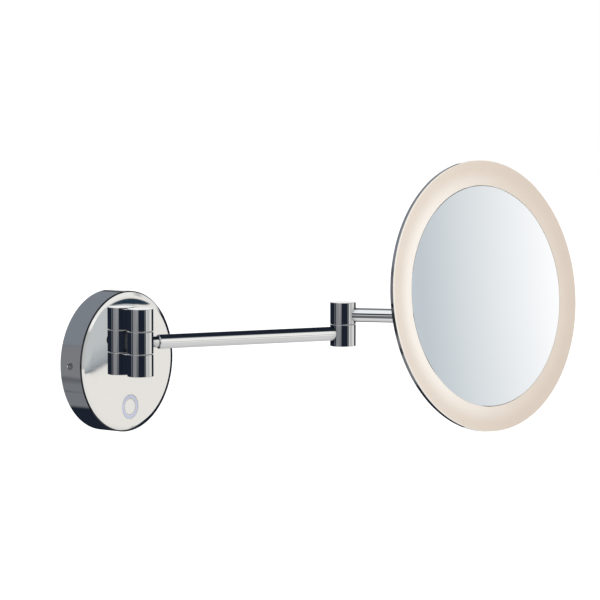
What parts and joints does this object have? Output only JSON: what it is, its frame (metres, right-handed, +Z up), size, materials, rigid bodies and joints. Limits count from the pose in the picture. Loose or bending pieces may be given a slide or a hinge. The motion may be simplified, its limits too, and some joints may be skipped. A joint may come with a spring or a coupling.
{
  "type": "extendable shaving mirror",
  "caption": "Wall-mounted shaving mirror: a round chrome canopy with a lit push switch carries a jointed swing arm and a tilting round mirror inside a lit frosted ring.",
  "frame": {"origin": "centre of the canopy, on the wall plane", "axes": "+X to the right, -Y straight out of the wall, +Z up"},
  "size_m": [0.3451, 0.2936, 0.2314],
  "materials": {
    "chrome": "polished chrome plate",
    "steel": "zinc-plated steel",
    "black_nylon": "black nylon washers",
    "rubber": "black rubber",
    "terminal_plastic": "white moulded plastic",
    "driver_case": "pale grey moulded case",
    "carrier_plastic": "white moulded plastic",
    "circuit_board": "white solder mask",
    "led_chip": "phosphor yellow",
    "foam": "grey foam tape",
    "mirror": "silvered glass",
    "frosted_glass": "frosted, lit warm white from behind",
    "switch_light": "translucent ring, lit pale blue"
  },
  "bodies": {
    "canopy": {"wall_plate": "steel", "canopy_lugs": "steel", "cable_grommet": "rubber", "terminal_block": "terminal_plastic", "led_driver": "driver_case", "driver_screws": "steel", "canopy_shell": "chrome", "grub_screws": "steel", "hinge_post": "chrome", "post_backing_plate": "steel", "post_nut": "steel", "rear_hinge_washers": "black_nylon", "switch_housing": "chrome", "switch_nut": "steel", "switch_light_ring": "switch_light", "switch_spring": "steel"},
    "switch_button": {"switch_cap": "chrome"},
    "base_link": {"upper_link": "chrome", "lower_link": "chrome", "rear_hinge_pin": "steel", "front_hinge_pin": "steel", "link_plugs": "chrome", "front_hinge_washers": "black_nylon"},
    "inner_arm": {"inner_arm_knuckle": "chrome", "inner_arm_tube": "chrome", "elbow_lower_knuckle": "chrome", "elbow_pin": "steel", "elbow_plug": "chrome", "elbow_washer": "black_nylon"},
    "outer_arm": {"elbow_upper_knuckle": "chrome", "outer_arm_tube": "chrome", "swivel_lower_knuckle": "chrome", "swivel_pin": "steel", "swivel_plug": "chrome", "swivel_washer": "black_nylon"},
    "swivel": {"swivel_upper_knuckle": "chrome"},
    "mirror_head": {"tilt_bracket": "chrome", "bracket_screws": "chrome", "tilt_pin": "chrome", "tilt_nut": "chrome", "tilt_washers": "black_nylon", "back_shell": "chrome", "head_backing_plate": "steel", "light_carrier": "carrier_plastic", "led_board": "circuit_board", "leds": "led_chip", "mirror_pad": "foam", "mirror_glass": "mirror", "diffuser_ring": "frosted_glass"}
  },
  "joints": [
    {"name": "switch_press", "type": "slide", "parent": "canopy", "child": "switch_button", "axis": [0, 1, 0], "range_m": [0, 0.0012], "stiffness_N_per_m": 2500, "springref_m": -0.0006, "deforming": ["switch_spring"]},
    {"name": "link_swing", "type": "hinge", "parent": "canopy", "child": "base_link", "pos_m": [-0.0233, -0.0352, 0.0205], "axis": [0, 0, 1], "range_deg": [-70, 30]},
    {"name": "inner_arm_swing", "type": "hinge", "parent": "base_link", "child": "inner_arm", "pos_m": [-0.02678, -0.05996, 0.0205], "axis": [0, 0, -1], "range_deg": [-25, 120]},
    {"name": "outer_arm_swing", "type": "hinge", "parent": "inner_arm", "child": "outer_arm", "pos_m": [0.14118, -0.14553, 0.0365], "axis": [0, 0, 1], "range_deg": [-75, 80]},
    {"name": "head_swivel", "type": "hinge", "parent": "outer_arm", "child": "swivel", "pos_m": [0.17697, -0.22593, 0.0525], "axis": [0, 0, -1], "range_deg": [-105, 45]},
    {"name": "head_tilt", "type": "hinge", "parent": "swivel", "child": "mirror_head", "pos_m": [0.17466, -0.24529, 0.0544], "axis": [-0.993, 0.1184, 0], "range_deg": [-31, 19]}
  ]
}
